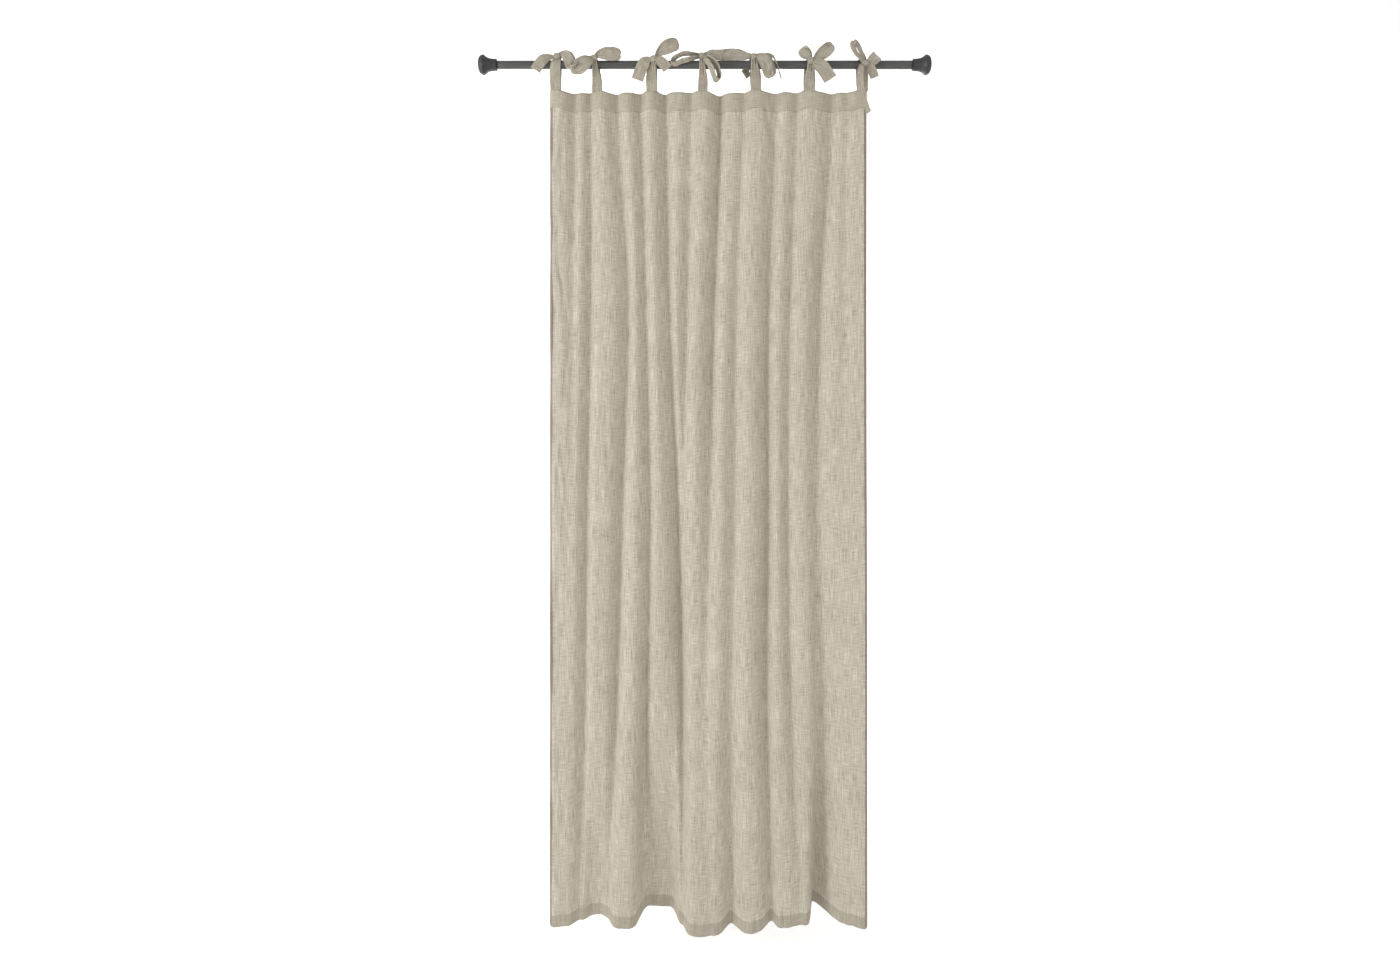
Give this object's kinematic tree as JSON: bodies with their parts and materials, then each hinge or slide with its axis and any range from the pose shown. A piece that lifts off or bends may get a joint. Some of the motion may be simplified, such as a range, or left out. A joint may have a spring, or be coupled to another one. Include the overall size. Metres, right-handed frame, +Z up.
{
  "type": "tie-top curtain panel on a rod",
  "caption": "Unlined linen curtain panel with a doubled header and stitched hems, hung from a metal rod with flared finials by ribbon ties knotted in bows.",
  "frame": {"origin": "on the rod's axis at the rod's mid length", "axes": "+X along the rod to the viewer's right, +Z up, the curtain's front faces -Y"},
  "size_m": [1.348, 0.1047, 2.6468],
  "materials": {
    "rod_satin_steel": "satin dark grey paint on steel tube",
    "finial_satin_metal": "satin dark grey paint on cast aluminium",
    "plug_nylon": "moulded black nylon",
    "linen": "open-weave slubby natural linen, unlined",
    "linen_double_layer": "two layers of the same linen, stitched",
    "linen_ribbon": "folded and top-stitched linen ribbon"
  },
  "bodies": {
    "rod": {"rod_tube": "rod_satin_steel"},
    "finial_left": {"finial_left": "finial_satin_metal", "finial_plug_left": "plug_nylon"},
    "finial_right": {"finial_right": "finial_satin_metal", "finial_plug_right": "plug_nylon"},
    "panel": {"panel_cloth": "linen", "header_band": "linen_double_layer", "bottom_hem": "linen_double_layer", "side_hem_left": "linen_double_layer", "side_hem_right": "linen_double_layer", "tie_1_front_strap": "linen_ribbon", "tie_1_back_strap": "linen_ribbon", "tie_1_knot": "linen_ribbon", "tie_1_right_loop": "linen_ribbon", "tie_1_left_tail": "linen_ribbon"},
    "tie_2": {"tie_2_front_strap": "linen_ribbon", "tie_2_back_strap": "linen_ribbon", "tie_2_knot": "linen_ribbon", "tie_2_left_loop": "linen_ribbon", "tie_2_right_loop": "linen_ribbon"},
    "tie_3": {"tie_3_front_strap": "linen_ribbon", "tie_3_back_strap": "linen_ribbon", "tie_3_knot": "linen_ribbon", "tie_3_right_loop": "linen_ribbon", "tie_3_left_tail": "linen_ribbon", "tie_3_right_tail": "linen_ribbon"},
    "tie_4": {"tie_4_front_strap": "linen_ribbon", "tie_4_back_strap": "linen_ribbon", "tie_4_knot": "linen_ribbon", "tie_4_left_loop": "linen_ribbon", "tie_4_right_loop": "linen_ribbon", "tie_4_hanging_loop": "linen_ribbon"},
    "tie_5": {"tie_5_front_strap": "linen_ribbon", "tie_5_back_strap": "linen_ribbon", "tie_5_knot": "linen_ribbon", "tie_5_left_loop": "linen_ribbon", "tie_5_right_loop": "linen_ribbon", "tie_5_right_tail": "linen_ribbon", "tie_5_left_tail": "linen_ribbon"},
    "tie_6": {"tie_6_front_strap": "linen_ribbon", "tie_6_back_strap": "linen_ribbon", "tie_6_knot": "linen_ribbon", "tie_6_left_loop": "linen_ribbon", "tie_6_right_loop": "linen_ribbon", "tie_6_right_tail": "linen_ribbon"},
    "tie_7": {"tie_7_front_strap": "linen_ribbon", "tie_7_back_strap": "linen_ribbon", "tie_7_knot": "linen_ribbon", "tie_7_left_loop": "linen_ribbon", "tie_7_upper_tail": "linen_ribbon", "tie_7_lower_tail": "linen_ribbon", "tie_7_long_tail": "linen_ribbon"}
  },
  "joints": [
    {"name": "panel_swing", "type": "hinge", "parent": "rod", "child": "panel", "pos_m": [0, 0, 0], "axis": [1, 0, 0], "range_deg": [-15, 15]},
    {"name": "curtain_draw", "type": "slide", "parent": "panel", "child": "tie_7", "axis": [-1, 0, 0], "range_m": [0, 0.58], "deforming": ["panel_cloth", "header_band", "bottom_hem", "side_hem_left", "side_hem_right", "tie_1_right_loop", "tie_1_left_tail", "tie_2_left_loop", "tie_2_right_loop", "tie_3_right_loop", "tie_3_left_tail", "tie_3_right_tail", "tie_4_left_loop", "tie_4_right_loop", "tie_4_hanging_loop", "tie_5_left_loop", "tie_5_right_loop", "tie_5_right_tail", "tie_5_left_tail", "tie_6_left_loop", "tie_6_right_loop", "tie_6_right_tail", "tie_7_left_loop", "tie_7_upper_tail", "tie_7_lower_tail", "tie_7_long_tail"]},
    {"name": "tie_2_slide", "type": "slide", "parent": "panel", "child": "tie_2", "axis": [-1, 0, 0], "range_m": [0, 0.0782]},
    {"name": "tie_3_slide", "type": "slide", "parent": "panel", "child": "tie_3", "axis": [-1, 0, 0], "range_m": [0, 0.1816]},
    {"name": "tie_4_slide", "type": "slide", "parent": "panel", "child": "tie_4", "axis": [-1, 0, 0], "range_m": [0, 0.2787]},
    {"name": "tie_5_slide", "type": "slide", "parent": "panel", "child": "tie_5", "axis": [-1, 0, 0], "range_m": [0, 0.3799]},
    {"name": "tie_6_slide", "type": "slide", "parent": "panel", "child": "tie_6", "axis": [-1, 0, 0], "range_m": [0, 0.4806]},
    {"name": "finial_left_pull", "type": "slide", "parent": "rod", "child": "finial_left", "axis": [-1, 0, 0], "range_m": [0, 0.035]},
    {"name": "finial_right_pull", "type": "slide", "parent": "rod", "child": "finial_right", "axis": [1, 0, 0], "range_m": [0, 0.035]}
  ],
  "couplings": [
    {"joint": "tie_2_slide", "follows": "curtain_draw", "ratio": 0.1339},
    {"joint": "tie_3_slide", "follows": "curtain_draw", "ratio": 0.3123},
    {"joint": "tie_4_slide", "follows": "curtain_draw", "ratio": 0.4797},
    {"joint": "tie_5_slide", "follows": "curtain_draw", "ratio": 0.6542},
    {"joint": "tie_6_slide", "follows": "curtain_draw", "ratio": 0.8277}
  ]
}
